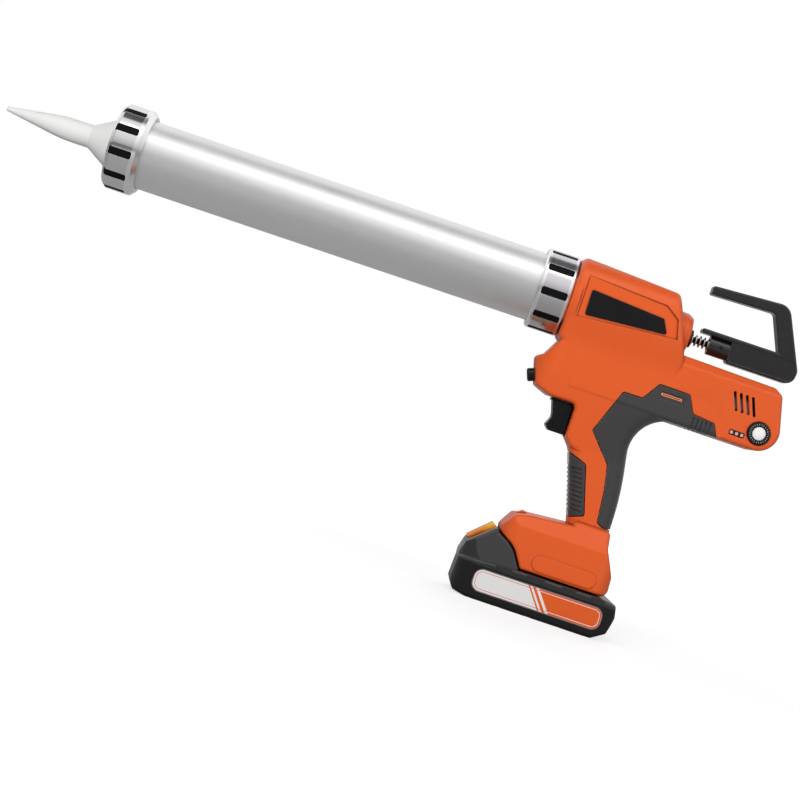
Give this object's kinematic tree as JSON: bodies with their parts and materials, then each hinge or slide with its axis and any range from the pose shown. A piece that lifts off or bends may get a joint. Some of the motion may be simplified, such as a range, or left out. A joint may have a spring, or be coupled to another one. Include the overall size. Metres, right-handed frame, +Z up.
{
  "type": "cordless caulking tool",
  "caption": "Cordless caulking tool: nozzle and screw collars on a metal barrel, toothed push rod with pull hook, geared pistol housing with trigger and slide-on battery.",
  "frame": {"origin": "centre of the battery's flat underside", "axes": "+Z up, nozzle towards -X, the tool's left side faces -Y"},
  "size_m": [0.6202, 0.074, 0.2789],
  "materials": {
    "nozzle_plastic": "translucent",
    "collar_metal": "polished",
    "black_plastic": "satin",
    "barrel_aluminium": "satin anodised",
    "seat_aluminium": "cast",
    "bush_bronze": "plain",
    "rod_steel": "blackened",
    "gear_steel": "machined",
    "orange_plastic": "fine satin",
    "grip_rubber": "matt",
    "nameplate_black": "satin",
    "dial_cap_plastic": "gloss",
    "indicator_window": "tinted",
    "led_red": "gloss",
    "board_green": "matt",
    "motor_can": "plated",
    "label_film": "printed film",
    "release_orange": "satin",
    "cell_wrap": "wrapped cell",
    "contact_brass": "plated"
  },
  "bodies": {
    "tool": {"barrel_seat": "seat_aluminium", "rod_bush_front": "bush_bronze", "rod_bush_rear": "bush_bronze", "housing_left": "orange_plastic", "housing_right": "orange_plastic", "palm_grip_left": "grip_rubber", "palm_grip_right": "grip_rubber", "finger_grip_left": "grip_rubber", "finger_grip_right": "grip_rubber", "grip_trim_left": "orange_plastic", "grip_trim_right": "orange_plastic", "housing_screws": "gear_steel", "nameplate_left": "nameplate_black", "nameplate_right": "nameplate_black", "trigger_switch": "black_plastic", "dial_potentiometer": "gear_steel", "led_window": "indicator_window", "indicator_leds": "led_red", "control_board": "board_green", "motor": "motor_can", "gearbox": "motor_can", "shaft_bearings": "bush_bronze", "terminal_block": "black_plastic", "terminal_blades": "contact_brass"},
    "barrel": {"barrel_tube": "barrel_aluminium"},
    "rear_collar": {"rear_collar": "collar_metal", "rear_collar_grips": "black_plastic"},
    "nozzle": {"nozzle": "nozzle_plastic"},
    "front_collar": {"front_collar": "collar_metal", "front_collar_grips": "black_plastic"},
    "rod": {"rack_rod": "rod_steel", "piston": "black_plastic", "piston_screw": "gear_steel", "pull_hook": "black_plastic", "hook_pin": "gear_steel"},
    "pinion_shaft": {"pinion_shaft": "gear_steel", "transfer_gear": "gear_steel", "rack_pinion": "gear_steel"},
    "cross_shaft": {"cross_shaft": "gear_steel", "transfer_pinion": "gear_steel", "bevel_wheel": "gear_steel"},
    "bevel_pinion": {"bevel_pinion": "gear_steel"},
    "trigger": {"trigger": "black_plastic"},
    "front_button": {"front_button": "black_plastic"},
    "speed_dial": {"speed_dial": "black_plastic", "dial_cap": "dial_cap_plastic"},
    "battery": {"battery_case": "black_plastic", "battery_cover": "black_plastic", "battery_label_left": "label_film", "battery_label_right": "label_film", "battery_cells": "cell_wrap", "battery_contacts": "contact_brass"},
    "battery_release": {"battery_release": "release_orange"}
  },
  "joints": [
    {"name": "rod_slide", "type": "slide", "parent": "tool", "child": "rod", "axis": [1, 0, 0], "range_m": [0, 0.29]},
    {"name": "pinion_spin", "type": "hinge", "parent": "tool", "child": "pinion_shaft", "pos_m": [-0.003, 0, 0.2225], "axis": [0, 1, 0], "range_deg": [-5, 2400]},
    {"name": "cross_spin", "type": "hinge", "parent": "tool", "child": "cross_shaft", "pos_m": [-0.003, 0, 0.197], "axis": [0, 1, 0], "range_deg": [-3720, 5]},
    {"name": "bevel_spin", "type": "hinge", "parent": "tool", "child": "bevel_pinion", "pos_m": [-0.003, 0, 0.197], "axis": [1, 0, 0], "range_deg": [-7440, 5]},
    {"name": "barrel_slide", "type": "slide", "parent": "tool", "child": "barrel", "axis": [-1, 0, 0], "range_m": [0, 0.01]},
    {"name": "rear_collar_turn", "type": "hinge", "parent": "barrel", "child": "rear_collar", "pos_m": [-0.056, 0, 0.233], "axis": [-1, 0, 0], "range_deg": [0, 1440]},
    {"name": "nozzle_slide", "type": "slide", "parent": "barrel", "child": "nozzle", "axis": [-1, 0, 0], "range_m": [0, 0.018]},
    {"name": "front_collar_turn", "type": "hinge", "parent": "nozzle", "child": "front_collar", "pos_m": [-0.388, 0, 0.233], "axis": [-1, 0, 0], "range_deg": [0, 2160]},
    {"name": "trigger_pull", "type": "slide", "parent": "tool", "child": "trigger", "axis": [1, 0, 0], "range_m": [0, 0.006], "stiffness_N_per_m": 1500, "springref_m": -0.002},
    {"name": "front_button_press", "type": "slide", "parent": "tool", "child": "front_button", "axis": [0.9354, 0, 0.3535], "range_m": [0, 0.0025], "stiffness_N_per_m": 1200, "springref_m": -0.001},
    {"name": "speed_dial_turn", "type": "hinge", "parent": "tool", "child": "speed_dial", "pos_m": [0.11953, -0.02, 0.18125], "axis": [0, 1, 0], "range_deg": [0, 270]},
    {"name": "battery_slide", "type": "slide", "parent": "tool", "child": "battery", "axis": [-1, 0, 0], "range_m": [0, 0.065]},
    {"name": "battery_release_press", "type": "slide", "parent": "battery", "child": "battery_release", "axis": [0.6944, 0, -0.7196], "range_m": [0, 0.0025], "stiffness_N_per_m": 800, "springref_m": -0.001}
  ],
  "couplings": [
    {"joint": "pinion_spin", "follows": "rod_slide", "rad_per_m": 142.86},
    {"joint": "cross_spin", "follows": "rod_slide", "rad_per_m": -221.43},
    {"joint": "bevel_spin", "follows": "rod_slide", "rad_per_m": -442.86},
    {"joint": "barrel_slide", "follows": "rear_collar_turn", "m_per_rad": 0.00039789},
    {"joint": "nozzle_slide", "follows": "front_collar_turn", "m_per_rad": 0.00047746}
  ]
}
